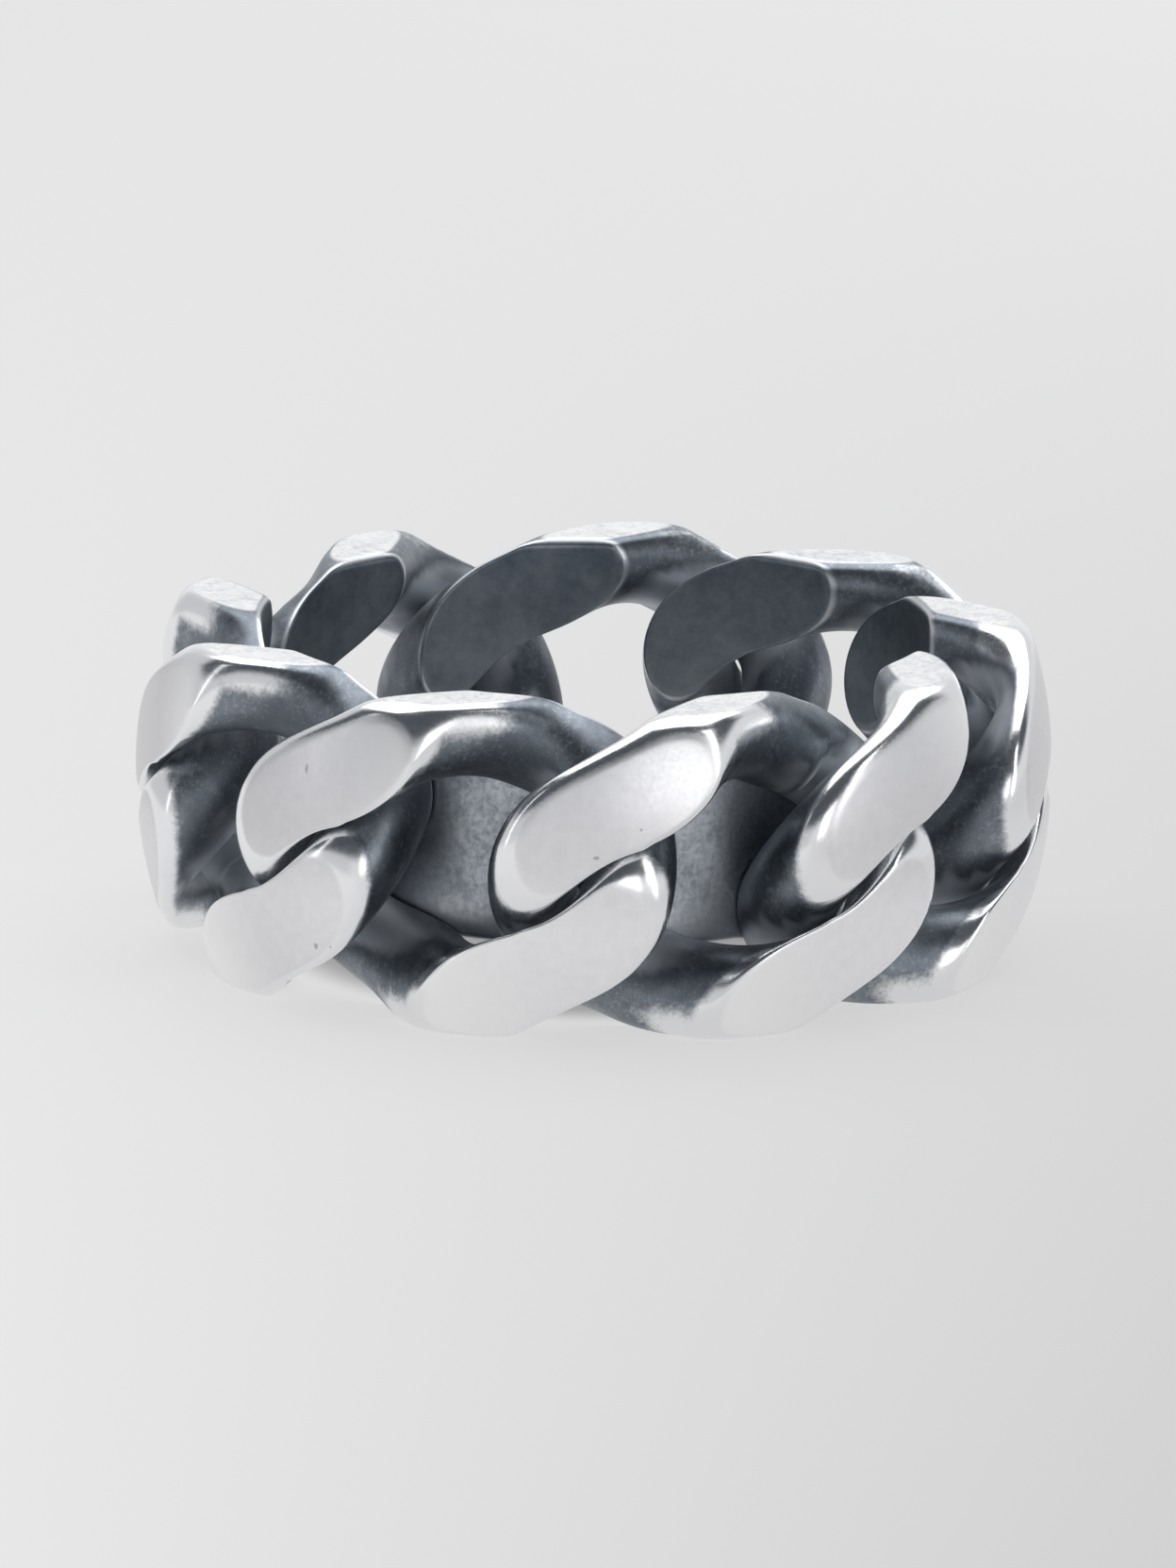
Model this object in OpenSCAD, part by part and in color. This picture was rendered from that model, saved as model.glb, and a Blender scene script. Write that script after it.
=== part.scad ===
// Curb chain ring: nine heavy links closed into a ring, filed flat inside, above and below and to a
// shallow dome outside.
// The ring's axis is +Z, the origin is on the surface that the ring rests on, and -Y is the front.

/* [Ring] */
// Number of links round the ring
link_count = 9; // [9:1:9]
// Diameter over the domed outside, where it is widest
outer_d = 26.06; // [25.9:0.01:26.2]
// How far above the middle the dome is widest
dome_rise = 0.4; // [0.2:0.1:0.5]
// Diameter between the flats on the inside, the finger's size
inner_d = 19; // [18.8:0.1:19.1]
// Width of the ring, along its axis
ring_width = 9.5; // [9.4:0.01:9.65]
// Break on the inner corners
edge_break = 0.2; // [0.1:0.05:0.3]
// Direction of the first link, from the front and to the right
first_azimuth = -61.4; // [-80:0.1:-40]

/* [Link] */
// Half length of the wire's centre line, round the ring
loop_half_length = 5.26; // [5.2:0.01:5.3]
// Half height of the wire's centre line, along the axis
loop_half_height = 3.94; // [3.9:0.01:4]
// Radius of the bend at each end of a link
end_bend_r = 3.41; // [3.3:0.01:3.5]
// Radius of the bend at the top and bottom of a link
rail_bend_r = 4.83; // [4.6:0.01:5]
// Radius of the circle that the centres of the links lie on
loop_circle_r = 10.88; // [10.8:0.01:10.95]
// Radius that each link is bent to along the ring
link_curve_r = 24.6; // [22:0.1:28]
// How far the twisted wire swings out and in
twist_depth = 1.99; // [1.95:0.01:2.05]

/* [Wire] */
// Half width of the wire at the ends and rails
wire_half_width = 1.27; // [1.2:0.01:1.28]
// Half thickness of the wire at the ends and rails
wire_half_depth = 1.4; // [1.3:0.01:1.41]
// Extra half width in the lobes, halfway along each leg
lobe_extra_width = 0.14; // [0:0.01:0.15]
// Extra half thickness in the lobes
lobe_extra_depth = 0.24; // [0:0.01:0.25]
// How far the lobes lean into the link's opening
lobe_lean = 0.29; // [0.2:0.01:0.3]
// Extra width of the filed face of an upper lobe, towards the opening
upper_lip = 0.42; // [0.3:0.01:0.45]
// How deep below the filed face the lip of an upper lobe reaches
upper_lip_depth = 1.2; // [0.8:0.1:1.2]
// Extra width of the filed face of a lower lobe, towards the opening
lower_lip = 0.3; // [0.1:0.01:0.35]
// How deep below the filed face the lip of a lower lobe reaches
lower_lip_depth = 0.7; // [0.4:0.1:0.8]
// Extra half width of the top rail, towards the opening
upper_fill = 0.15; // [0:0.01:0.15]
// Extra half width of the bottom rail, towards the opening
lower_fill = 0.5; // [0.3:0.01:0.5]
// How much the outer side of the top rail is thinned
upper_thinning = 0.4; // [0.3:0.01:0.45]
// How much the outer side of the bottom rail is thinned
lower_thinning = 0.1; // [0:0.01:0.2]
// Sides of the wire's section
wire_sides = 14; // [10:2:14]
// Sections along a quarter of the link
quarter_steps = 15; // [10:1:15]

/* [Plate] */
// Length of the plate, round the inside
plate_length = 12.1; // [9:0.1:12.1]
// Height of the plate, along the axis
plate_height = 5.1; // [3:0.1:5.6]
// Thickness of the plate
plate_thickness = 0.8; // [0.5:0.1:1]
// Radius of the plate's corners
plate_corner_r = 0.6; // [0.3:0.1:1]
// Gap between the plate and the flats that it lies on
plate_gap = 0.08; // [0.05:0.01:0.15]

/* [Hidden] */
$fn = 96;
silver = [0.76, 0.77, 0.78];
dark_silver = [0.30, 0.33, 0.36];
pitch = 360 / link_count;
outer_r = outer_d / 2;
inner_r = inner_d / 2;
steps = 4 * quarter_steps;

// The centre line is a rounded rhombus: an end bend, a straight leg and half a rail bend in each quarter
end_x = loop_half_length - end_bend_r;
rail_y = loop_half_height - rail_bend_r;
centre_distance = norm([end_x, rail_y]);
leg_normal = acos((rail_bend_r - end_bend_r) / centre_distance) - atan2(rail_y, end_x);
leg_start = [end_x + end_bend_r * cos(leg_normal), end_bend_r * sin(leg_normal)];
leg_end = [rail_bend_r * cos(leg_normal), rail_y + rail_bend_r * sin(leg_normal)];
end_arc = end_bend_r * leg_normal * PI / 180;
leg_length = norm(leg_end - leg_start);
rail_arc = rail_bend_r * (90 - leg_normal) * PI / 180;
quarter_length = end_arc + leg_length + rail_arc;

// A point of the first quarter, at a distance from the tip of the link
function quarter_point(s) =
    s < end_arc ? let (a = leg_normal * s / end_arc)
        [end_x + end_bend_r * cos(a), end_bend_r * sin(a)]
    : s < end_arc + leg_length ? leg_start + (leg_end - leg_start) * (s - end_arc) / leg_length
    : let (a = leg_normal + (90 - leg_normal) * (s - end_arc - leg_length) / rail_arc)
        [rail_bend_r * cos(a), rail_y + rail_bend_r * sin(a)];

// The whole centre line, by a turn of 0 to 360 degrees; the last value is the swing out and in
function loop_point(turn) =
    let (t = (turn + 360) % 360, quarter = floor(t / 90), part = (t - 90 * quarter) / 90,
         p = quarter_point(quarter_length * (quarter % 2 == 0 ? part : 1 - part)))
    [p.x * (quarter == 1 || quarter == 2 ? -1 : 1), p.y * (quarter > 1 ? -1 : 1),
     -twist_depth * sin(2 * t)];

// How far into a lobe a turn is, from 0 at the ends and rails to 1 halfway along a leg
function lobe(turn) = pow(sin(2 * turn), 2);

// How far the side towards the opening stands out, at a point of that height and distance from the
// axis: a fill along the rails, and a lip at the filed faces
function opening_side(turn, height, radius) =
    let (depth = outer_r - norm([radius, height - dome_rise]),
         lip = sin(turn) > 0 ? upper_lip * pow(lobe(turn), 0.8) * lip_share(depth / upper_lip_depth)
                             : lower_lip * lobe(turn) * lip_share(depth / lower_lip_depth))
    lip + (sin(turn) > 0 ? upper_fill : lower_fill) * pow(max(0, -cos(2 * turn)), 2);
function lip_share(depth) = max(0, min(1, 1 - depth));

// How much is taken off the outer side of the rails
function thinning(turn) = (sin(turn) > 0 ? upper_thinning : lower_thinning) * max(0, -cos(2 * turn));

// One section of the wire, wider and deeper in the lobes and leaning into the opening there
function wire_section(turn) =
    let (step = 360 / steps / 4, c = loop_point(turn),
         run = loop_point(turn + step) - loop_point(turn - step),
         side = [run.y, -run.x, 0] / norm([run.y, -run.x]),
         across = cross(run, side) / norm(run), up = across * sign(across.z), k = lobe(turn),
         half_width = wire_half_width + lobe_extra_width * k,
         half_depth = wire_half_depth + lobe_extra_depth * k)
    [for (j = [0 : wire_sides - 1])
        let (a = 360 * (j + 0.5) / wire_sides,
             rise = sin(a) * (half_depth - (sin(a) > 0 ? thinning(turn) : 0)),
             height = c.y + up.y * rise, radius = loop_circle_r + c.z + up.z * rise,
             reach = half_width + (cos(a) < 0 ? opening_side(turn, height, radius) : 0))
        c + side * (reach * cos(a) - lobe_lean * k) + up * rise];

// Bends a point of the flat link onto the ring: x runs round it, y along the axis and z outwards
function on_ring(p) =
    let (a = p.x / link_curve_r * 180 / PI)
    [(link_curve_r + p.z) * sin(a),
     link_curve_r - loop_circle_r - (link_curve_r + p.z) * cos(a),
     ring_width / 2 + p.y];

// The bent and twisted wire of one link, before it is filed
module wire_loop() {
    points = [for (i = [0 : steps - 1], p = wire_section(360 * i / steps)) on_ring(p)];
    faces = [for (i = [0 : steps - 1], j = [0 : wire_sides - 1])
        let (near = i * wire_sides, far = ((i + 1) % steps) * wire_sides, k = (j + 1) % wire_sides)
        each [[near + j, far + j, far + k], [near + j, far + k, near + k]]];
    polyhedron(points = points, faces = faces);
}

// The band that the links are filed to: a bore with broken corners, and a domed outside
module filed_band() {
    intersection() {
        rotate_extrude()
            polygon([[inner_r + edge_break, 0], [outer_r + 1, 0], [outer_r + 1, ring_width],
                     [inner_r + edge_break, ring_width], [inner_r, ring_width - edge_break],
                     [inner_r, edge_break]]);
        translate([0, 0, ring_width / 2 + dome_rise]) sphere(r = outer_r);
    }
}

module curb_link(number) {
    color(silver)
        intersection() {
            rotate([0, 0, first_azimuth + pitch * (number - 1)]) wire_loop();
            filed_band();
        }
}

// The curved plate inside the two front links, its face bare
module inner_plate() {
    face_r = inner_r - plate_gap;
    rise = plate_height / 2 - plate_corner_r;
    reach = plate_length / 2 - plate_corner_r;
    color(dark_silver)
        rotate([0, 0, first_azimuth + pitch * 1.5])
            translate([0, 0, ring_width / 2])
                intersection() {
                    difference() {
                        cylinder(r = face_r, h = plate_height, center = true);
                        cylinder(r = face_r - plate_thickness, h = plate_height + 2, center = true);
                    }
                    rotate([90, 0, 0])
                        linear_extrude(height = inner_r)
                            union() {
                                square([2 * reach, plate_height], center = true);
                                square([plate_length, 2 * rise], center = true);
                                for (x = [-reach, reach], z = [-rise, rise])
                                    translate([x, z]) circle(r = plate_corner_r);
                            }
                }
}

curb_link(1);  // link_1
curb_link(2);  // link_2
curb_link(3);  // link_3
curb_link(4);  // link_4
curb_link(5);  // link_5
curb_link(6);  // link_6
curb_link(7);  // link_7
curb_link(8);  // link_8
curb_link(9);  // link_9
inner_plate();
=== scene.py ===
import math

import bpy
import numpy as np
from mathutils import Matrix, Vector
from mathutils.bvhtree import BVHTree


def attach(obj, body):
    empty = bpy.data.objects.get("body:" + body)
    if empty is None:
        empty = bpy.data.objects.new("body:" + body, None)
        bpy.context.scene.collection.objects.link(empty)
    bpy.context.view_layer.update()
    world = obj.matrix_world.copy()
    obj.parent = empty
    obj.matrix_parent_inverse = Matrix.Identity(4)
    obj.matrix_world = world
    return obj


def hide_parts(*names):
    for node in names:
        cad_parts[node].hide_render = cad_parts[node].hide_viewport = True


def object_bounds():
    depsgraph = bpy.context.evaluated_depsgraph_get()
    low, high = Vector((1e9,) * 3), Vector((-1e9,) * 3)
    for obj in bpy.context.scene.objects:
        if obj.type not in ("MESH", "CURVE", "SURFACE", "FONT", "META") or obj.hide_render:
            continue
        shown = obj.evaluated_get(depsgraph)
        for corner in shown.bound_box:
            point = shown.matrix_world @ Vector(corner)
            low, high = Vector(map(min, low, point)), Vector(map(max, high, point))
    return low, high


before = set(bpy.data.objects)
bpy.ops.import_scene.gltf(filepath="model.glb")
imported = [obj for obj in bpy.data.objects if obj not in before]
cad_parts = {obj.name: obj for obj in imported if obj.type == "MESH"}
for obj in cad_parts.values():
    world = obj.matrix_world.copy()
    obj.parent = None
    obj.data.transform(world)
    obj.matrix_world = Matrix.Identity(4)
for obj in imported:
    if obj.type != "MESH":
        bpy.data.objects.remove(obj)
cad_low, cad_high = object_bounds()

# The nine links are thick silver wire, twisted a quarter turn to each side, passed through one another
# and soldered shut. The closed chain is then filed to a band: to a shallow dome outside, and flat inside
# and on both edges. It is blackened all over and polished again where a finger or a cloth reaches.
MM = 0.001
LINK_COUNT = 9
RING_WIDTH = 9.5 * MM
OUTER_R = 13.03 * MM
DOME_RISE = 0.4 * MM
INNER_R = 9.5 * MM
FIRST_AZIMUTH = math.radians(-61.4)

# One link's wire: its bends, its twist, its section, and how that changes in the lobes and at the rails
LOOP_HALF_LENGTH = 5.26 * MM
LOOP_HALF_HEIGHT = 3.94 * MM
END_BEND_R = 3.41 * MM
RAIL_BEND_R = 4.83 * MM
LOOP_CIRCLE_R = 10.88 * MM
LINK_CURVE_R = 24.6 * MM
TWIST_DEPTH = 1.99 * MM
WIRE_HALF_WIDTH = 1.27 * MM
WIRE_HALF_DEPTH = 1.40 * MM
LOBE_EXTRA_WIDTH = 0.14 * MM
LOBE_EXTRA_DEPTH = 0.24 * MM
LOBE_LEAN = 0.29 * MM
UPPER_LIP = 0.42 * MM
UPPER_LIP_DEPTH = 1.2 * MM
UPPER_LIP_POWER = 0.8
LOWER_LIP = 0.30 * MM
LOWER_LIP_DEPTH = 0.7 * MM
UPPER_FILL = 0.15 * MM
LOWER_FILL = 0.5 * MM
UPPER_THINNING = 0.4 * MM
LOWER_THINNING = 0.1 * MM

# The roundings that the file leaves. The dome's own edge is rounded more at the top than at the bottom,
# and least towards the opening.
CORNER_BREAK = 0.10 * MM
UPPER_ROUNDING = 0.75 * MM
LOWER_ROUNDING = 0.45 * MM
OPENING_ROUNDING = 0.18 * MM
INNER_ROUNDING = 0.10 * MM
EDGE_ROUNDING = 0.24 * MM
DOME_EDGE_ROUNDING = 0.38 * MM
CORNER_ROUNDING = 0.16 * MM

# The mesh: sections of the wire, points round each, the search along rays that finds them, and how
# much closer they stand at the corners
WIRE_STEPS = 320
WIRE_SIDES = 152
DENSE_SIDES = 480
BISECTIONS = 22
RAY_REACH = 2.5 * MM
CORNER_SHARE = 0.34
EVENING_PASSES = 6

# What the finish needs: rays that tell how far each point is closed in, and the bends that a cloth
# reaches, which also get a painted highlight, each by its middle and its reach, in degrees round the wire
RECESS_STEP = 4
RECESS_REACH = 6 * MM
RECESS_RAYS = 40
RECESS_SEED = 5
RAY_START = 0.02 * MM
RAY_LEAN = 1.02
WORN_AND_HIGHLIT_BENDS = ((104, 22), (281, 34))
WORN_AND_HIGHLIT_BEND_FADE = 1.5
WEAR_SEED = 2442
pitch = 2 * math.pi / LINK_COUNT


def unit(vectors):
    return vectors / np.linalg.norm(vectors, axis=-1, keepdims=True)


def wire_centre(turns):
    """The wire's centre line on the flat link: two end bends and two rail bends joined by straight legs."""
    end_x, rail_y = LOOP_HALF_LENGTH - END_BEND_R, LOOP_HALF_HEIGHT - RAIL_BEND_R
    lean = (math.acos((RAIL_BEND_R - END_BEND_R) / math.hypot(end_x, rail_y))
            - math.atan2(rail_y, end_x))
    leg_from = np.array([end_x + END_BEND_R * math.cos(lean), END_BEND_R * math.sin(lean)])
    leg_to = np.array([RAIL_BEND_R * math.cos(lean), rail_y + RAIL_BEND_R * math.sin(lean)])
    end_arc, leg = END_BEND_R * lean, np.linalg.norm(leg_to - leg_from)
    rail_arc = RAIL_BEND_R * (math.pi / 2 - lean)
    turns = np.mod(turns, 2 * np.pi)
    quarter = np.floor(turns / (np.pi / 2)).astype(int) % 4
    part = turns / (np.pi / 2) - quarter
    s = np.where(quarter % 2 == 0, part, 1 - part) * (end_arc + leg + rail_arc)
    on_end = lean * s / end_arc
    on_leg = (s - end_arc) / leg
    on_rail = lean + (math.pi / 2 - lean) * (s - end_arc - leg) / rail_arc
    x = np.where(s < end_arc, end_x + END_BEND_R * np.cos(on_end),
                 np.where(s < end_arc + leg, leg_from[0] + (leg_to[0] - leg_from[0]) * on_leg,
                          RAIL_BEND_R * np.cos(on_rail)))
    y = np.where(s < end_arc, END_BEND_R * np.sin(on_end),
                 np.where(s < end_arc + leg, leg_from[1] + (leg_to[1] - leg_from[1]) * on_leg,
                          rail_y + RAIL_BEND_R * np.sin(on_rail)))
    x = x * np.where((quarter == 1) | (quarter == 2), -1, 1)
    y = y * np.where(quarter > 1, -1, 1)
    return np.stack([x, y, -TWIST_DEPTH * np.sin(2 * turns)], -1)


def bent_to_ring(points):
    """Bends the flat link onto the front of the ring: x runs round it, y along its axis, z outwards."""
    angle = points[..., 0] / LINK_CURVE_R
    radius = LINK_CURVE_R + points[..., 2]
    return np.stack([radius * np.sin(angle), LINK_CURVE_R - LOOP_CIRCLE_R - radius * np.cos(angle),
                     RING_WIDTH / 2 + points[..., 1]], -1)


def soft_max(a, b, rounding):
    """The larger of two distances, with the corner between them rounded."""
    blend = np.maximum(rounding - np.abs(a - b), 0) / rounding
    return np.maximum(a, b) + blend * blend * rounding / 4


def above_dome(points):
    """How far points lie outside the filed dome."""
    return np.linalg.norm(points - [0, 0, RING_WIDTH / 2 + DOME_RISE], axis=-1) - OUTER_R


def filed(points, wire, outer_rounding):
    """How far points lie outside the filed band and the wire, whose own distance is given."""
    edge = np.abs(points[..., 2] - RING_WIDTH / 2) - RING_WIDTH / 2
    inside = INNER_R - np.hypot(points[..., 0], points[..., 1])
    corner = (inside + edge + CORNER_BREAK) / math.sqrt(2)
    dome = above_dome(points)
    on_dome = np.clip(0.5 + (dome - wire) / DOME_EDGE_ROUNDING, 0, 1)
    distance = soft_max(wire, dome, outer_rounding)
    distance = soft_max(distance, inside, INNER_ROUNDING)
    distance = soft_max(distance, edge, EDGE_ROUNDING + (DOME_EDGE_ROUNDING - EDGE_ROUNDING) * on_dome)
    return soft_max(distance, corner, CORNER_ROUNDING)


def wire_surface(angles):
    """Points of the filed wire, one row for each of its sections, in the directions given."""
    # Each section stands across the wire: side lies in the plane of the flat link, and up points outwards
    turns = (np.arange(WIRE_STEPS) / WIRE_STEPS * 2 * np.pi)[:, None]
    nudge = math.pi / 2 / WIRE_STEPS
    centre = wire_centre(turns)
    run = unit(wire_centre(turns + nudge) - wire_centre(turns - nudge))
    side = unit(np.stack([run[..., 1], -run[..., 0], 0 * run[..., 0]], -1))
    up = np.cross(run, side)
    up = up * np.sign(up[..., 2:])

    # A section is widest and deepest in the four lobes, halfway along the legs, and changes at the rails
    lobe = np.sin(2 * turns) ** 2
    half_width = WIRE_HALF_WIDTH + LOBE_EXTRA_WIDTH * lobe
    half_depth = WIRE_HALF_DEPTH + LOBE_EXTRA_DEPTH * lobe
    middle = -LOBE_LEAN * lobe
    at_rail = np.maximum(0, -np.cos(2 * turns))
    upper = np.sin(turns) > 0
    lip = np.where(upper, UPPER_LIP * lobe ** UPPER_LIP_POWER, LOWER_LIP * lobe)
    lip_depth = np.where(upper, UPPER_LIP_DEPTH, LOWER_LIP_DEPTH)
    fill = np.where(upper, UPPER_FILL, LOWER_FILL) * at_rail ** 2
    thinning = np.where(upper, UPPER_THINNING, LOWER_THINNING) * at_rail
    outer_rounding = LOWER_ROUNDING + (UPPER_ROUNDING - LOWER_ROUNDING) * (0.5 + 0.5 * np.sin(turns))

    # The rays start in the middle of what the file leaves of a section
    rise = LOOP_CIRCLE_R + centre[..., 2]
    dome_r = np.sqrt(OUTER_R ** 2 - (centre[..., 1] - DOME_RISE) ** 2)
    low = np.maximum(-half_depth, (INNER_R - rise) / up[..., 2])
    high = np.minimum(half_depth, (dome_r - rise) / up[..., 2])
    level = (low + high) / 2
    across, along = np.cos(angles), np.sin(angles)
    near, far = 0 * turns * angles, 0 * turns * angles + RAY_REACH
    for _ in range(BISECTIONS):
        reach = (near + far) / 2
        x, y = middle + across * reach, level + along * reach
        points = bent_to_ring(centre + side * x[..., None] + up * y[..., None])
        in_lip = np.clip(1 + above_dome(points) / lip_depth, 0, 1)
        towards_opening = x < middle
        width = half_width + (lip * in_lip + fill) * towards_opening
        depth = half_depth - thinning * (y > 0)
        wire = (np.hypot((x - middle) / width, y / depth) - 1) * half_width
        outer_share = np.clip(0.5 + (x - middle) / half_width, 0, 1)
        rounding = OPENING_ROUNDING + (outer_rounding - OPENING_ROUNDING) * outer_share
        outside = filed(points, wire, rounding) > 0
        far = np.where(outside, reach, far)
        near = np.where(outside, near, reach)
    return points


def evened_angles():
    """Directions that put as many points round each corner of a section as along its sides."""
    angles = np.arange(DENSE_SIDES + 1)[None, :] / DENSE_SIDES * 2 * np.pi
    points = wire_surface(angles)[:, :-1]
    runs = np.roll(points, -1, 1) - points
    lengths = np.linalg.norm(runs, axis=-1)
    bends = np.arccos(np.clip((unit(runs) * np.roll(unit(runs), 1, 1)).sum(-1), -1, 1))
    bends = (bends + np.roll(bends, -1, 1)) / 2
    share = lengths / lengths.sum(1, keepdims=True)
    share = (1 - CORNER_SHARE) * share + CORNER_SHARE * bends / bends.sum(1, keepdims=True)
    for _ in range(EVENING_PASSES):
        share = (np.roll(share, 1, 0) + 2 * share + np.roll(share, -1, 0)) / 4
        share = (np.roll(share, 1, 1) + 2 * share + np.roll(share, -1, 1)) / 4
    reached = np.concatenate([np.zeros((WIRE_STEPS, 1)), np.cumsum(share, 1)], 1)
    wanted = np.arange(WIRE_SIDES) / WIRE_SIDES
    return np.array([np.interp(wanted, row / row[-1], angles[0]) for row in reached])


def tube_faces(rows, sides):
    """Faces that join each row of points to the next, and the last row to the first."""
    i, j = np.meshgrid(np.arange(rows), np.arange(sides), indexing="ij")
    i2, j2 = (i + 1) % rows, (j + 1) % sides
    return np.stack([i * sides + j, i2 * sides + j, i2 * sides + j2, i * sides + j2], -1).reshape(-1, 4)


def round_the_ring(points, azimuth):
    """Turns points about the ring's axis."""
    c, s = math.cos(azimuth), math.sin(azimuth)
    return points @ np.array([[c, s, 0], [-s, c, 0], [0, 0, 1]])


def closed_in(points, normals, shell):
    """The share of rays from each point, crowded round its normal, that meet the links within reach."""
    tree = BVHTree.FromPolygons(*shell)
    spread = unit(np.random.default_rng(RECESS_SEED).normal(size=(RECESS_RAYS, 3)))
    met = np.zeros(len(points))
    for n, (point, normal) in enumerate(zip(points, normals)):
        start = Vector(point + normal * RAY_START)
        for ray in unit(spread + normal * RAY_LEAN):
            met[n] += tree.ray_cast(start, Vector(ray), RECESS_REACH)[0] is not None
    return met / RECESS_RAYS


def mesh_object(name, points, faces):
    """A smoothly shaded object at the origin, with its place in its mesh."""
    mesh = bpy.data.meshes.new(name)
    mesh.from_pydata(np.asarray(points).tolist(), [], np.asarray(faces).tolist())
    mesh.polygons.foreach_set("use_smooth", np.full(len(mesh.polygons), True))
    made = bpy.data.objects.new(name, mesh)
    bpy.context.scene.collection.objects.link(made)
    return made


# Node trees are written as sums and products of sockets. Each expression adds the Math nodes that it
# needs to its tree, and any other kind of node comes from the one method below.
class Shade:
    def __init__(self, tree, socket):
        self.tree = tree
        self.socket = socket

    @staticmethod
    def node(tree, kind, settings=None, output=0, **values):
        """Adds a node and gives one of its outputs. An input goes by its name, or by _ and its number."""
        made = tree.nodes.new(kind)
        for name, value in (settings or {}).items():
            setattr(made, name, value)
        for name, value in values.items():
            key = int(name[1:]) if name[0] == "_" else name.replace("_", " ")
            if isinstance(value, Shade):
                tree.links.new(value.socket, made.inputs[key])
            else:
                made.inputs[key].default_value = value
        return Shade(tree, made.outputs[output])

    def math(self, operation, *others, kind="ShaderNodeMath", output=0):
        values = {f"_{number}": value for number, value in enumerate((self, *others))}
        return Shade.node(self.tree, kind, {"operation": operation}, output, **values)

    def vector_math(self, operation, *others):
        output = "Value" if operation == "LENGTH" else "Vector"
        return self.math(operation, *others, kind="ShaderNodeVectorMath", output=output)

    def __add__(self, other):
        return self.math("ADD", other)

    def __sub__(self, other):
        return self.math("SUBTRACT", other)

    def __mul__(self, other):
        return self.math("MULTIPLY", other)

    def __rsub__(self, other):
        return self * -1 + other

    __radd__ = __add__
    __rmul__ = __mul__

    def split(self):
        """The three numbers of a vector."""
        parts = Shade.node(self.tree, "ShaderNodeSeparateXYZ", Vector=self).socket.node.outputs
        return [Shade(self.tree, part) for part in parts]

    def step(self, low, high):
        """Rises smoothly from 0 at the low value to 1 at the high one."""
        return Shade.node(self.tree, "ShaderNodeMapRange", {"interpolation_type": "SMOOTHSTEP"},
                          _0=self, _1=low, _2=high)

    def uneven(self, *patterns):
        """The value, raised and lowered by patterns that are each given with a strength."""
        value = self
        for pattern, strength in patterns:
            value = value + (pattern - 0.5) * strength
        return value

    def mix(self, first, second):
        """The first colour where the value is 0, and the second where it is 1."""
        first, second = [c if isinstance(c, Shade) else (*c, 1) for c in (first, second)]
        return Shade.node(self.tree, "ShaderNodeMix", {"data_type": "RGBA"}, output=2,
                          _0=self, _6=first, _7=second)

    def into(self, node, name):
        self.tree.links.new(self.socket, node.inputs[name])


def look(name, roughness=0.5, metallic=0.0):
    """A new material, its node tree and its shader."""
    material = bpy.data.materials.new(name)
    material.use_nodes = True
    shader = material.node_tree.nodes["Principled BSDF"]
    shader.inputs["Roughness"].default_value = roughness
    shader.inputs["Metallic"].default_value = metallic
    return material, material.node_tree, shader


def object_place(tree):
    return Shade.node(tree, "ShaderNodeTexCoord", output="Object")


def attribute(tree, name):
    return Shade.node(tree, "ShaderNodeAttribute", {"attribute_name": name}, output="Fac")


def grain(place, per_mm, detail=2.0, distortion=0.0):
    """An uneven pattern from 0 to 1, with so many patches a millimetre."""
    return Shade.node(place.tree, "ShaderNodeTexNoise", output="Fac", Vector=place,
                      Scale=per_mm / MM, Detail=detail, Distortion=distortion)


def drawn_out(place, **mapping):
    """The place turned or squeezed, so that a grain on it runs in streaks."""
    return Shade.node(place.tree, "ShaderNodeMapping", Vector=place, **mapping)


# The silver's colours. A pair runs from the duller patches of a finish to its brighter ones.
SATIN = ((0.66, 0.657, 0.680), (0.95, 0.947, 0.967))
# Painted highlight: the near white that the satin takes on the worn bends
PAINTED_BEND_HIGHLIGHT = (0.97, 0.97, 0.97)
EDGE_SATIN = ((0.64, 0.655, 0.685), (1.0, 1.0, 1.0))
POLISHED_SILVER = ((0.88, 0.885, 0.90), (0.93, 0.93, 0.94))
OXIDE = ((0.120, 0.141, 0.168), (0.29, 0.32, 0.355))
BLACK_OXIDE = ((0.090, 0.105, 0.127), (0.150, 0.170, 0.197))
# Painted light: the lighter grey of the deepest crevices
PAINTED_CREVICE_LIGHT = (0.55, 0.58, 0.62)
BORE_OXIDE = ((0.105, 0.130, 0.162), (0.33, 0.36, 0.395))
RUBBED_GREY = (0.62, 0.64, 0.67)
DENT_GREY = (0.20, 0.21, 0.23)

# Depths below the filed faces, heights and distances, in millimetres. A pair is where a finish starts
# to change and where it has changed.
FACE_FADE = (0.015, 0.05)
BORE_FACE_FADE = (0.015, 0.045)
OUTSIDE_RUB_FADE = (0.20, 0.70)
EDGE_RUB_START = 0.30
EDGE_RUB_END = 0.35
EDGE_RUB_END_BY_WEAR = 1.45
EDGE_RUB_OFF_BORE = (0.9, 1.9)
EDGE_RUB_TOWARDS_BACK = (1.0, 7.0)
EDGE_RUB_LOST_AT_BACK = 0.65
BEND_RUB_HEIGHT = (0.5, 1.6)
BEND_RUB_ON_DOME = 1.25
BEND_RUB_LOST_PER_MM = 0.7
LOWER_HALF = (-1.5, 1.0)
FAR_LEFT = (-10.0, -5.0)
BLACK_BELOW_DOME = (0.08, 0.65)
BORE_RIM_START = (0.02, 0.06)
BORE_RIM_END = (0.08, 0.20)
BORE_UPPER_HALF = (1.0, 4.8)

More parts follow.
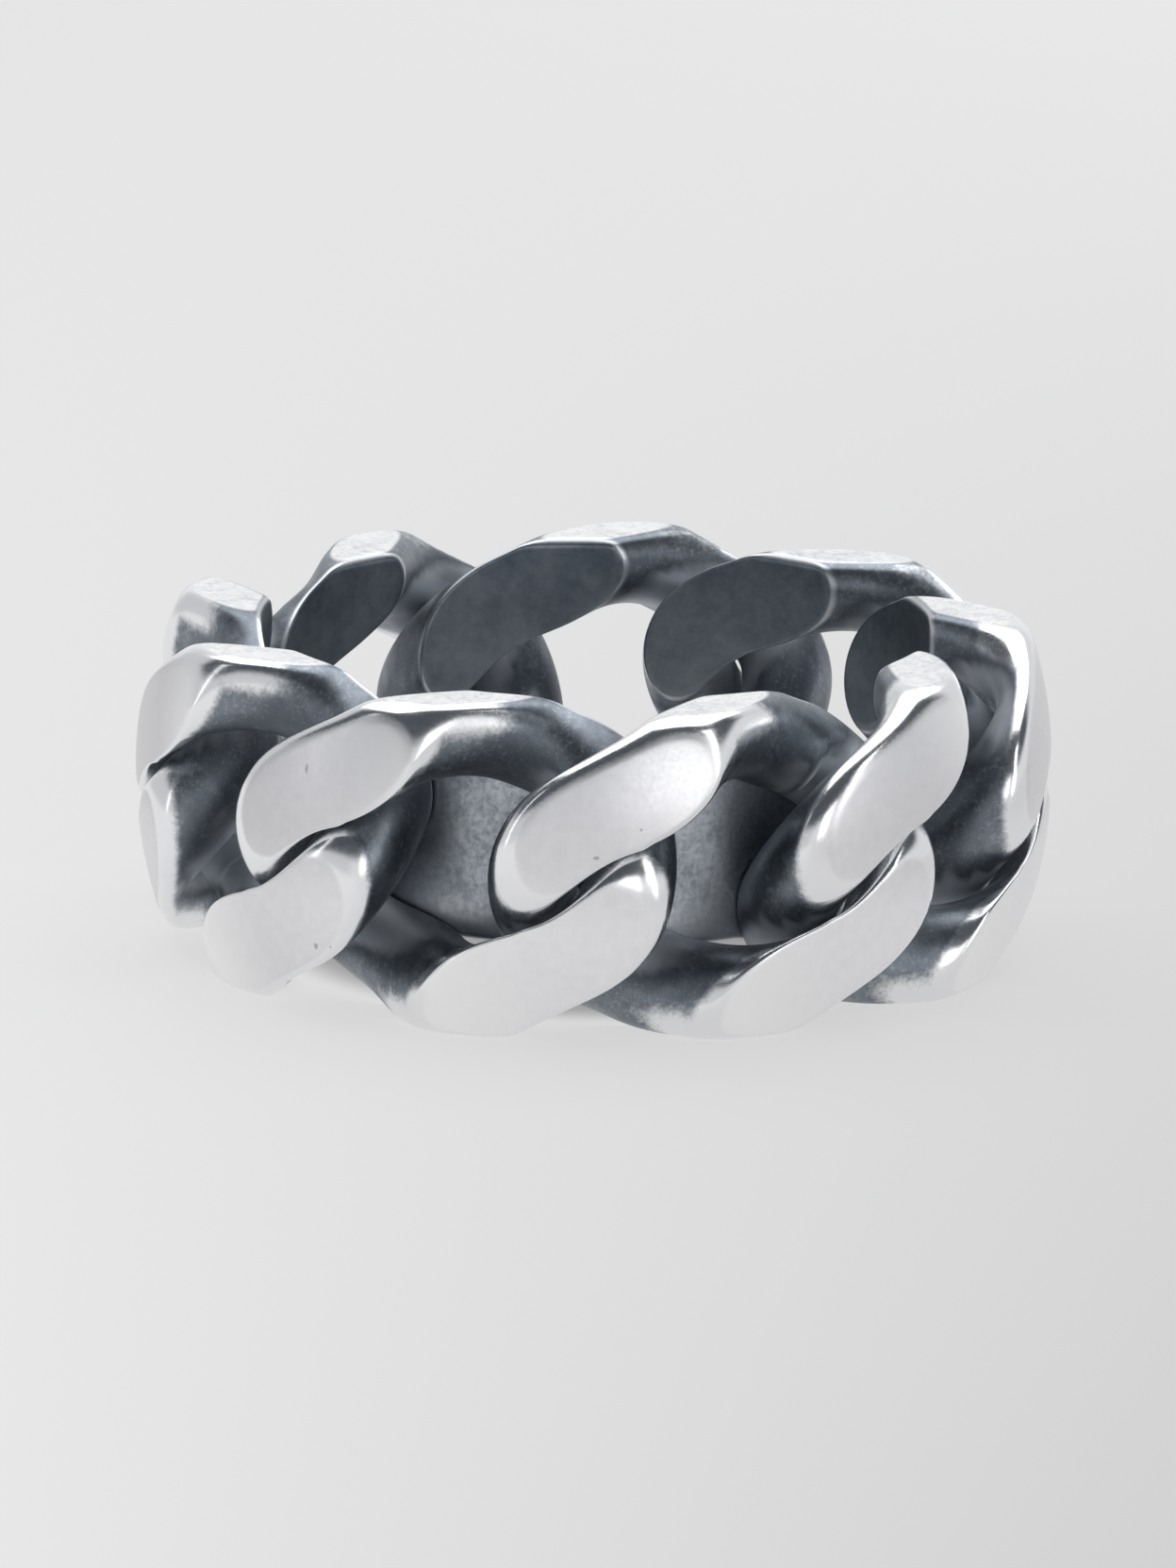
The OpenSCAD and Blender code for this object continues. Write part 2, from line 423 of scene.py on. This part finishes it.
# Shares: where the satin lies between its two colours, and how much each finish gives way to another.
# Each link has a wear of its own, from 0 to 1, and a recess is given by the share of it closed in.
SATIN_LEVEL = 0.29
SATIN_PATTERN = 0.50
SATIN_OF_LESS_WORN = 0.85
SATIN_EVEN_WEAR = 0.55
# Painted light on the lower half of the filed faces
SATIN_PAINTED_LIGHT_BELOW = 0.42
# Painted shade at the far left of the filed faces
SATIN_PAINTED_SHADE_AT_LEFT = 0.42
EDGE_SATIN_DULLING = 0.12
OXIDE_OF_MORE_WORN = 0.9
OXIDE_EVEN_WEAR = 0.78
RECESSES = (0.14, 0.44)
CREVICES = (0.35, 0.70)
OPEN_SIDES = (0.2, 0.6)
BLACK_LOST_ON_EDGES = 0.85
BORE_PATTERN = 0.55
# Painted light on the lower part of the bore's flats
BORE_PAINTED_LIGHT_BELOW = 1.10
BORE_RIM_LOST_IN_BLACK = 0.6
SPECKS_BRIGHTENING = 0.30
DENT_DARKENING = 0.55

# Roughness of the polished wire, what each other finish adds to it, and the least that the bore has
POLISHED_ROUGHNESS = 0.19
DOME_ROUGHNESS = 0.14
EDGE_ROUGHNESS = 0.12
OXIDE_ROUGHNESS = 0.16
BLACK_ROUGHNESS = 0.20
BORE_ROUGHNESS = 0.38

# The dents that show on the front: each one's middle, half width and half height, in millimetres
DENTS = (((-8.06, -9.99, 7.36), 0.05, 0.16),
         ((-7.72, -10.09, 2.26), 0.07, 0.11),
         ((-7.32, -10.39, 2.29), 0.05, 0.06),
         ((0.10, -13.02, 5.68), 0.10, 0.07),
         ((1.35, -12.89, 6.48), 0.05, 0.05),
         ((-3.34, -12.41, 3.01), 0.05, 0.05))
DENT_HALF_WIDTHS_DEEP = 2
RELIEF_STRENGTH = 0.25
RELIEF_DEPTH = 0.012 * MM

links_look, tree, shader = look("oxidised_silver", metallic=1.0)
place = object_place(tree)
x_mm, y_mm, z_mm = [part * (1 / MM) for part in place.split()]
from_axis_squared = x_mm * x_mm + y_mm * y_mm
above_middle = z_mm - RING_WIDTH / 2 / MM
above_dome_middle = above_middle - DOME_RISE / MM
dome_depth = OUTER_R / MM - (from_axis_squared + above_dome_middle * above_dome_middle).math("SQRT")
edge_depth = RING_WIDTH / 2 / MM - above_middle.math("ABSOLUTE")
bore_depth = from_axis_squared.math("SQRT") - INNER_R / MM
recess = attribute(tree, "recess")
worn_and_highlit_bend = attribute(tree, "worn_and_highlit_bend")
wear = attribute(tree, "wear")
blotches = grain(place, per_mm=0.9, detail=3.0, distortion=0.3)
mottle = grain(place, per_mm=3.2, detail=3.0)
fine_grain = grain(place, per_mm=9.0, detail=4.0)
specks = grain(place, per_mm=24.0)
strokes = drawn_out(place, Rotation=(0.3, 0.9, 0.5), Scale=(1, 1, 0.06))
hairlines = grain(strokes, per_mm=16.0, detail=3.0, distortion=0.6)

# Where each finish lies: the filed faces, what is rubbed bright round them, and what stays black. The
# bare numbers from here on are the weights of the patterns and the borders of their patches.
dome_face = 1 - dome_depth.step(*FACE_FADE)
edge_face = 1 - edge_depth.step(*FACE_FADE)
bore_face = 1 - bore_depth.step(*BORE_FACE_FADE)
filed_face = dome_face.math("MAXIMUM", edge_face)
rubbed_outside = 1 - dome_depth.step(*OUTSIDE_RUB_FADE)
edge_rub_end = wear * EDGE_RUB_END_BY_WEAR + EDGE_RUB_END
rubbed_edge = 1 - edge_depth.step(EDGE_RUB_START, edge_rub_end)
rubbed_edge = rubbed_edge * bore_depth.step(*EDGE_RUB_OFF_BORE)
rubbed_edge = rubbed_edge * (1 - y_mm.step(*EDGE_RUB_TOWARDS_BACK) * EDGE_RUB_LOST_AT_BACK)
rubbed_bend = worn_and_highlit_bend * (1 - z_mm.step(*BEND_RUB_HEIGHT))
rubbed_bend = rubbed_bend * (BEND_RUB_ON_DOME - dome_depth * BEND_RUB_LOST_PER_MM)
polish = rubbed_outside.math("MAXIMUM", rubbed_edge).math("MAXIMUM", rubbed_bend)
polish = polish.uneven((fine_grain, 0.45), (mottle, 0.35))
polish = polish.step(0.15, 0.85).math("MAXIMUM", filed_face)
blackened = recess.uneven((fine_grain, 0.22), (blotches, 0.08)).step(*RECESSES)
blackened = blackened * dome_depth.step(*BLACK_BELOW_DOME)
blackened = blackened * (1 - edge_face * BLACK_LOST_ON_EDGES)
bore_rim = bore_depth.step(*BORE_RIM_START) * (1 - bore_depth.step(*BORE_RIM_END))
bore_rim = bore_rim * (1 - blackened * BORE_RIM_LOST_IN_BLACK)

# The filed faces are a mottled satin, duller on links with more wear, with painted shade at the far left
satin = SATIN_LEVEL + (mottle * 0.7 + hairlines * 0.3) * SATIN_PATTERN
satin = satin + (SATIN_EVEN_WEAR - wear) * SATIN_OF_LESS_WORN
# Painted light: the lower half of the filed faces is painted lighter
satin = satin + (1 - above_middle.step(*LOWER_HALF)) * SATIN_PAINTED_LIGHT_BELOW
# Painted shade: the filed faces at the far left are painted darker
satin = satin - (1 - x_mm.step(*FAR_LEFT)) * SATIN_PAINTED_SHADE_AT_LEFT
# Painted highlight: the satin is painted near white on the worn bends
satin = worn_and_highlit_bend.mix(satin.mix(*SATIN), PAINTED_BEND_HIGHLIGHT)
edge_satin = blotches * 0.6 + mottle * 0.9 - EDGE_SATIN_DULLING
edge_satin = edge_satin.uneven((fine_grain, 0.9), (specks, 0.4)).step(0.1, 0.9).mix(*EDGE_SATIN)
satin = (edge_face * (1 - dome_face)).mix(satin, edge_satin)
metal = filed_face.mix(blotches.mix(*POLISHED_SILVER), satin)

# The oxide is streaked, and paler on the links with more wear. It is black in the recesses, while their
# deepest crevices, which little light reaches, get a lighter grey that is painted light. On the open sides,
# specks of it are rubbed off.
oxide = blotches.uneven((mottle, 0.9), (hairlines, 0.5)) + (wear - OXIDE_EVEN_WEAR) * OXIDE_OF_MORE_WORN
oxide_and_crevice_light = recess.step(*CREVICES).mix(fine_grain.mix(*BLACK_OXIDE), PAINTED_CREVICE_LIGHT)
metal = blackened.mix(polish.mix(oxide.mix(*OXIDE), metal), oxide_and_crevice_light)
rubbed_specks = (specks * 0.4 + fine_grain * 0.6).uneven((blotches, 0.3)).step(0.50, 0.68)
rubbed_specks = rubbed_specks * (1 - recess.step(*OPEN_SIDES)) * (1 - polish)
metal = (rubbed_specks * SPECKS_BRIGHTENING).mix(metal, RUBBED_GREY)

# The flats in the bore are grey, with painted light that makes them paler towards the floor, and a
# rubbed rim runs round each of them
bore_patches_and_light = (blotches * 0.5 + mottle * 0.3 + fine_grain * 0.2).step(0.25, 0.75) * BORE_PATTERN
# Painted light: the bore's flats are painted paler towards the floor
bore_patches_and_light = bore_patches_and_light + (1 - above_middle.step(*BORE_UPPER_HALF)) * (BORE_PAINTED_LIGHT_BELOW - wear)
metal = bore_face.mix(metal, bore_patches_and_light.mix(*BORE_OXIDE))
metal = bore_rim.mix(metal, RUBBED_GREY)

dents = 0
for middle, half_width, half_height in DENTS:
    off = place.vector_math("SUBTRACT", [part * MM for part in middle])
    half_sizes = (half_width, DENT_HALF_WIDTHS_DEEP * half_width, half_height)
    scaled = off.vector_math("MULTIPLY", [1 / half_size / MM for half_size in half_sizes])
    dents = 1 - scaled.vector_math("LENGTH").uneven((fine_grain, 1.2)).step(0.5, 1.1) + dents
metal = (dents * DENT_DARKENING).mix(metal, DENT_GREY)
metal.into(shader, "Base Color")

rough = POLISHED_ROUGHNESS + DOME_ROUGHNESS * dome_face + EDGE_ROUGHNESS * edge_face
rough = rough + OXIDE_ROUGHNESS * (1 - polish) + BLACK_ROUGHNESS * blackened
rough = rough.uneven((specks, 0.12), (fine_grain, 0.15)).math("MAXIMUM", bore_face * BORE_ROUGHNESS)
rough.into(shader, "Roughness")
relief = mottle * 0.5 + fine_grain * 0.35 + specks * 0.15 + hairlines * 0.10 - dents * 1.2
bumped = Shade.node(tree, "ShaderNodeBump", Strength=RELIEF_STRENGTH, Distance=RELIEF_DEPTH,
                    Height=relief)
bumped.into(shader, "Normal")


def link_placer():
    """A node tree that sets one link in its place round the ring and gives it its wear and its metal."""
    tree = bpy.data.node_groups.new("link_in_its_place", "GeometryNodeTree")
    kinds = {"Geometry": "NodeSocketGeometry",
             "Link Count": "NodeSocketInt",
             "Link Number": "NodeSocketInt",
             "First Azimuth": "NodeSocketFloat",
             "Wear Seed": "NodeSocketInt",
             "Metal": "NodeSocketMaterial"}
    sockets = {name: tree.interface.new_socket(name, in_out="INPUT", socket_type=kind)
               for name, kind in kinds.items()}
    tree.interface.new_socket("Geometry", in_out="OUTPUT", socket_type="NodeSocketGeometry")
    given = tree.nodes.new("NodeGroupInput")
    value = {name: Shade(tree, given.outputs[name]) for name in kinds}
    places = Shade.node(tree, "GeometryNodePoints", Count=value["Link Count"])
    index = Shade.node(tree, "GeometryNodeInputIndex")
    turn = (index * (2 * math.pi)).math("DIVIDE", value["Link Count"]) + value["First Azimuth"]
    turning = Shade.node(tree, "ShaderNodeCombineXYZ", Z=turn)
    chosen = Shade.node(tree, "FunctionNodeCompare", {"data_type": "INT", "operation": "EQUAL"},
                        _2=index + 1, _3=value["Link Number"])
    wear = Shade.node(tree, "FunctionNodeRandomValue", {"data_type": "FLOAT"}, output=1,
                      ID=index, Seed=value["Wear Seed"])
    placed = Shade.node(tree, "GeometryNodeInstanceOnPoints", Points=places, Selection=chosen,
                        Instance=value["Geometry"], Rotation=turning)
    marked = Shade.node(tree, "GeometryNodeStoreNamedAttribute",
                        {"data_type": "FLOAT", "domain": "INSTANCE"},
                        Geometry=placed, Name="wear", Value=wear)
    real = Shade.node(tree, "GeometryNodeRealizeInstances", Geometry=marked)
    finished = Shade.node(tree, "GeometryNodeSetMaterial", Geometry=real, Material=value["Metal"])
    finished.into(tree.nodes.new("NodeGroupOutput"), "Geometry")
    return tree, {name: socket.identifier for name, socket in sockets.items()}


faces = tube_faces(WIRE_STEPS, WIRE_SIDES)
flat_points = wire_surface(evened_angles()).reshape(-1, 3)
master = mesh_object("front_link", flat_points, faces)
normals = np.array([v.normal for v in master.data.vertices])
neighbours = np.vstack([round_the_ring(flat_points, pitch * k) for k in (-1, 0, 1)])
neighbour_faces = np.vstack([faces + k * len(flat_points) for k in range(3)])

# Every fourth point each way is looked at, and what it sees is spread over the points between
rows = np.arange(WIRE_STEPS * WIRE_SIDES).reshape(WIRE_STEPS, WIRE_SIDES)[::RECESS_STEP, ::RECESS_STEP]
picked = rows.ravel()
met = closed_in(flat_points[picked], normals[picked], (neighbours.tolist(), neighbour_faces.tolist()))
met = np.repeat(np.repeat(met.reshape(rows.shape), RECESS_STEP, 0), RECESS_STEP, 1)
for _ in range(RECESS_STEP):
    met = (met + np.roll(met, 1, 0) + np.roll(met, -1, 0) + np.roll(met, 1, 1) + np.roll(met, -1, 1)) / 5

# The worn bends, rubbed bright and also given a painted highlight on their satin
turns = (np.arange(WIRE_STEPS) / WIRE_STEPS * 360)[:, None]
worn_and_highlit = np.zeros_like(turns)
for middle, reach in WORN_AND_HIGHLIT_BENDS:
    worn_and_highlit = np.maximum(worn_and_highlit, np.clip(1 - np.abs(turns - middle) / reach, 0, 1))
worn_and_highlit = np.repeat(worn_and_highlit ** WORN_AND_HIGHLIT_BEND_FADE, WIRE_SIDES, 1)
for name, values in (("recess", met), ("worn_and_highlit_bend", worn_and_highlit)):
    layer = master.data.attributes.new(name, "FLOAT", "POINT")
    layer.data.foreach_set("value", values.ravel())

placer, inputs = link_placer()
for n in range(LINK_COUNT):
    piece = bpy.data.objects.new(f"silver_link_{n + 1}", master.data)
    bpy.context.scene.collection.objects.link(piece)
    modifier = piece.modifiers.new("in_its_place", "NODES")
    modifier.node_group = placer
    modifier[inputs["Link Count"]] = LINK_COUNT
    modifier[inputs["Link Number"]] = n + 1
    modifier[inputs["First Azimuth"]] = FIRST_AZIMUTH
    modifier[inputs["Wear Seed"]] = WEAR_SEED
    modifier[inputs["Metal"]] = links_look
    evaluated = piece.evaluated_get(bpy.context.evaluated_depsgraph_get())
    mesh = bpy.data.meshes.new_from_object(evaluated)
    piece.modifiers.remove(modifier)
    piece.data = mesh
    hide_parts(f"link_{n + 1}")
    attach(piece, "root")
bpy.data.objects.remove(master)


# The plate is a small strip of silver, curved to the bore and set across the two front links from
# inside. Its corners are rounded and its edges bevelled, and its face is bare and scuffed.
PLATE_AZIMUTH = FIRST_AZIMUTH + 1.5 * pitch
PLATE_LENGTH = 12.1 * MM
PLATE_HEIGHT = 5.1 * MM
PLATE_THICKNESS = 0.8 * MM
PLATE_CORNER_R = 0.6 * MM
PLATE_GAP = 0.08 * MM
PLATE_BEVEL = 0.14 * MM
CORNER_POINTS = 12
SIDE_POINTS = 60
END_POINTS = 24
FACE_RINGS = 30
FACE_START = 0.02
BEVEL_RINGS = 4
SCUFFED_SILVER = ((0.27, 0.295, 0.33), (0.50, 0.53, 0.57))
# Tarnish and painted shade at the plate's ends
PLATE_END_TARNISH_AND_SHADE = (0.17, 0.19, 0.215)
# Painted light at the plate's foot
PLATE_FOOT_PAINTED_LIGHT = (0.80, 0.83, 0.87)
PLATE_END_TARNISH_AND_SHADE_SHARE = 0.55
PLATE_FOOT_LIGHT_SHARE = 0.5
PLATE_EDGE_RUB = 0.8
PLATE_MIDDLE_X = 0.2
PLATE_END_FADE = (2.6, 5.6)
PLATE_FOOT_HEIGHT = (2.0, 4.2)
PLATE_EDGE_FADE = (0.06, 0.20)
PLATE_EDGE_RUB_DEPTH = (0.25, 0.45)
PLATE_ROUGHNESS = 0.46
SCUFF_SMOOTHING = 0.12
PLATE_RELIEF_STRENGTH = 0.35
PLATE_RELIEF_DEPTH = 0.02 * MM


def plate_outline():
    """The rounded rectangle of the plate, its points and the directions out of it."""
    reach, rise = PLATE_LENGTH / 2 - PLATE_CORNER_R, PLATE_HEIGHT / 2 - PLATE_CORNER_R
    points, outwards = [], []
    for corner in range(4):
        middle = np.array([reach * (1, -1, -1, 1)[corner], rise * (1, 1, -1, -1)[corner]])
        for k in range(CORNER_POINTS):
            angle = math.pi / 2 * (corner + k / (CORNER_POINTS - 1))
            outwards.append([math.cos(angle), math.sin(angle)])
            points.append(middle + PLATE_CORNER_R * np.array(outwards[-1]))
        last, out = points[-1], outwards[-1]
        count = SIDE_POINTS if corner % 2 == 0 else END_POINTS
        far = last + np.array([-out[1], out[0]]) * 2 * (reach if corner % 2 == 0 else rise)
        for k in range(1, count):
            points.append(last + (far - last) * k / count)
            outwards.append(out)
    return np.array(points), np.array(outwards)


# The rings run from the middle of the face that lies against the links, over both bevels, to the middle
# of the inner face. The first and the last are a hundredth of a millimetre across, and are joined.
outline, outwards = plate_outline()
rings, depths = [], []
for k in range(FACE_RINGS):
    rings.append((outline - outwards * PLATE_BEVEL) * (k + FACE_START) / FACE_RINGS)
    depths.append(0)
for k in range(BEVEL_RINGS + 1):
    angle = math.pi / 2 * k / BEVEL_RINGS
    rings.append(outline - outwards * PLATE_BEVEL * (1 - math.sin(angle)))
    depths.append(PLATE_BEVEL * (1 - math.cos(angle)))
rings = rings + rings[::-1]
depths = depths + [PLATE_THICKNESS - depth for depth in depths[::-1]]
plate_points = []
for ring, depth in zip(rings, depths):
    face_r = INNER_R - PLATE_GAP - depth
    plate_points.append(np.stack([ring[:, 0], -np.sqrt(face_r ** 2 - ring[:, 0] ** 2),
                                  RING_WIDTH / 2 + ring[:, 1]], -1))
plate_points = round_the_ring(np.vstack(plate_points), PLATE_AZIMUTH)
plate_faces = tube_faces(len(rings), len(outline))[:, ::-1]
plate = mesh_object("silver_plate", plate_points, plate_faces)

# The plate's silver is scuffed in the middle of its face, darker towards both ends, partly tarnish and
# partly painted shade, with painted light at its foot, and paler along its rubbed edges. Lengths are in
# millimetres, as for the links.
plate_look, plate_tree, plate_shader = look("scuffed_silver", metallic=1.0)
plate_place = object_place(plate_tree)
plate_x, plate_y, plate_z = [part * (1 / MM) for part in plate_place.split()]
plate_depth = (INNER_R - PLATE_GAP) / MM - (plate_x * plate_x + plate_y * plate_y).math("SQRT")
from_plate_edge = PLATE_HEIGHT / 2 / MM - (plate_z - RING_WIDTH / 2 / MM).math("ABSOLUTE")
plate_blotches = grain(plate_place, per_mm=0.8, detail=3.0, distortion=0.5)
plate_specks = grain(plate_place, per_mm=5.5, detail=4.0, distortion=0.6)
scratches = grain(drawn_out(plate_place, Scale=(1, 1, 0.25)), per_mm=7.0, detail=5.0, distortion=0.4)
scuffs = (scratches * 0.20 + plate_specks * 0.60 + plate_blotches * 0.35 - 0.07).step(0.32, 0.68)
towards_ends = (plate_x - PLATE_MIDDLE_X).math("ABSOLUTE").step(*PLATE_END_FADE)
at_foot = 1 - plate_z.step(*PLATE_FOOT_HEIGHT)
rubbed = (1 - from_plate_edge.step(*PLATE_EDGE_FADE)) * (1 - plate_depth.step(*PLATE_EDGE_RUB_DEPTH))
# Tarnish and painted shade: the plate is painted darker towards both ends
silver = (towards_ends * PLATE_END_TARNISH_AND_SHADE_SHARE).mix(scuffs.mix(*SCUFFED_SILVER), PLATE_END_TARNISH_AND_SHADE)
# Painted light: the plate's foot is painted paler
silver = (at_foot * PLATE_FOOT_LIGHT_SHARE).mix(silver, PLATE_FOOT_PAINTED_LIGHT)
silver = (rubbed * PLATE_EDGE_RUB).mix(silver, RUBBED_GREY)
silver.into(plate_shader, "Base Color")
plate_rough = (PLATE_ROUGHNESS - scuffs * SCUFF_SMOOTHING).uneven((plate_specks, 0.08))
plate_rough.into(plate_shader, "Roughness")
plate_bump = Shade.node(plate_tree, "ShaderNodeBump", Strength=PLATE_RELIEF_STRENGTH,
                        Distance=PLATE_RELIEF_DEPTH, Height=scratches * 0.6 + plate_specks * 0.4)
plate_bump.into(plate_shader, "Normal")
plate.data.materials.append(plate_look)
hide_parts("inner_plate")
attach(plate, "root")

# The studio is a glowing pale floor, with a painted shadow inside the ring, in a room that is light at the
# ring's height and lightest at the back, and dark overhead. A wide soft box hangs over the back, a narrow
# one stands at each side, and a weak one stands in front, to the right of the camera.
FLOOR_SIZE = 6.0
FLOOR_COLOUR = (0.12, 0.12, 0.12)
FLOOR_ROUGHNESS = 0.9
FLOOR_GLOW = 0.637
FLOOR_GLOW_LEAST = FLOOR_GLOW - 0.10
FLOOR_GLOW_MOST = FLOOR_GLOW + 0.06
FLOOR_GLOW_RISE_BACK = 0.35
FLOOR_GLOW_FALL_RIGHT = 3.2
FLOOR_GLOW_TURN_BACK = 30.0
# Painted shadow inside the ring: the share of the glow left there, and where it fades out
FLOOR_GLOW_IN_PAINTED_SHADOW = 0.42
FLOOR_PAINTED_SHADOW_FADE = (7.6 * MM, 9.6 * MM)
ring_centre = Vector((0, 0, cad_low.z + RING_WIDTH / 2))
half_floor = FLOOR_SIZE / 2
floor_corners = [(-half_floor, -half_floor, 0), (half_floor, -half_floor, 0),
                 (half_floor, half_floor, 0), (-half_floor, half_floor, 0)]
floor = mesh_object("floor", floor_corners, [(0, 1, 2, 3)])
floor_look, floor_tree, floor_shader = look("pale_floor", roughness=FLOOR_ROUGHNESS)
floor_right, floor_back, _ = object_place(floor_tree).split()
glow_fall = (FLOOR_GLOW_FALL_RIGHT - floor_back * FLOOR_GLOW_TURN_BACK) * floor_right
glow = FLOOR_GLOW + floor_back * FLOOR_GLOW_RISE_BACK - glow_fall
glow = glow.math("MAXIMUM", FLOOR_GLOW_LEAST).math("MINIMUM", FLOOR_GLOW_MOST)
floor_from_axis = (floor_right * floor_right + floor_back * floor_back).math("SQRT")
outside_ring = floor_from_axis.step(*FLOOR_PAINTED_SHADOW_FADE)
# Painted shadow: the floor's glow is lowered inside the ring
glow = glow * (FLOOR_GLOW_IN_PAINTED_SHADOW + (1 - FLOOR_GLOW_IN_PAINTED_SHADOW) * outside_ring)
glow.mix((0, 0, 0), (1, 1, 1)).into(floor_shader, "Emission Color")
floor_shader.inputs["Base Color"].default_value = (*FLOOR_COLOUR, 1)
floor_shader.inputs["Emission Strength"].default_value = 1.0
floor_shader.inputs["Specular IOR Level"].default_value = 0.0
floor.data.materials.append(floor_look)


def soft_box(name, place, size, power):
    """A soft box turned to the ring. It lights and reflects, but the camera doesn't see it."""
    data = bpy.data.lights.new(name, "AREA")
    data.shape = "RECTANGLE"
    data.size, data.size_y = size
    data.energy = power
    box = bpy.data.objects.new(name, data)
    towards = ring_centre - Vector(place)
    box.matrix_world = Matrix.Translation(place) @ towards.to_track_quat("-Z", "Y").to_matrix().to_4x4()
    box.visible_camera = False
    bpy.context.scene.collection.objects.link(box)


soft_box("box_over_back", place=(0, 0.17, 0.59), size=(0.85, 0.64), power=3.4)
soft_box("box_right", place=(0.55, -0.38, 0.26), size=(0.12, 0.66), power=0.60)
soft_box("box_left", place=(-0.66, -0.18, 0.26), size=(0.08, 0.60), power=0.16)
soft_box("box_front", place=(0.27, -0.68, 0.16), size=(0.34, 0.30), power=0.31)

# The room's light, and where it changes: a direction's part to the left, to the back or upwards runs
# from -1 to 1, and a pair is where a change starts and where it ends.
ROOM_LIGHT = (0.80, 0.81, 0.825)
ROOM_DARK = (0.075, 0.085, 0.098)
ROOM_BACK = (0.96, 0.97, 0.985)
ROOM_STRENGTH = 0.9
OVERHEAD_UP = (0.24, 0.44)
OVERHEAD_BACK = (0.20, 0.55)
LEFT_SIDE = (0.15, 0.55)
LEFT_DIMMING = 0.20
FAR_BACK = (0.80, 0.97)
BACK_UP = (0.30, 0.60)
world = bpy.data.worlds.new("studio")
world.use_nodes = True
bpy.context.scene.world = world
room = world.node_tree
to_right, to_back, upwards = Shade.node(room, "ShaderNodeTexCoord", output="Generated").split()
overhead = upwards.step(*OVERHEAD_UP) * (1 - to_back.step(*OVERHEAD_BACK))
dark = overhead.math("MAXIMUM", (to_right * -1).step(*LEFT_SIDE) * LEFT_DIMMING)
low_at_back = to_back.step(*FAR_BACK) * (1 - upwards.step(*BACK_UP))
sky = low_at_back.mix(dark.mix(ROOM_LIGHT, ROOM_DARK), ROOM_BACK)
background = room.nodes["Background"]
sky.into(background, "Color")
background.inputs["Strength"].default_value = ROOM_STRENGTH

# The camera looks at the front of the ring from a little above and from far off, as with a long lens,
# and leans one degree to the side. The ring lies on its side, its axis upright.
PHOTO_WIDTH = 1247
PHOTO_HEIGHT = 1662
RING_X = 629.5
RING_Y = 825.5
PIXEL = 0.02682 * MM
CAMERA_DISTANCE = 766 * MM
CAMERA_HEIGHT_ANGLE = math.radians(13.9)
CAMERA_LEAN = math.radians(1.0)
SENSOR_WIDTH = 36
view_back = Vector((0, -math.cos(CAMERA_HEIGHT_ANGLE), math.sin(CAMERA_HEIGHT_ANGLE)))
view_turn = view_back.to_track_quat("Z", "Y").to_matrix() @ Matrix.Rotation(CAMERA_LEAN, 3, "Z")
view_right, view_up = view_turn.col[0], view_turn.col[1]
aim = (ring_centre - view_right * (RING_X - PHOTO_WIDTH / 2) * PIXEL
       + view_up * (RING_Y - PHOTO_HEIGHT / 2) * PIXEL)
camera_data = bpy.data.cameras.new("camera")
camera_data.sensor_fit = "HORIZONTAL"
camera_data.sensor_width = SENSOR_WIDTH
camera_data.lens = CAMERA_DISTANCE / PIXEL / PHOTO_WIDTH * SENSOR_WIDTH
camera_data.clip_start = 0.01
camera_data.clip_end = 10
camera = bpy.data.objects.new("camera", camera_data)
camera.matrix_world = Matrix.Translation(aim + view_back * CAMERA_DISTANCE) @ view_turn.to_4x4()
bpy.context.scene.collection.objects.link(camera)
bpy.context.scene.camera = camera
bpy.context.scene.view_settings.view_transform = "Standard"
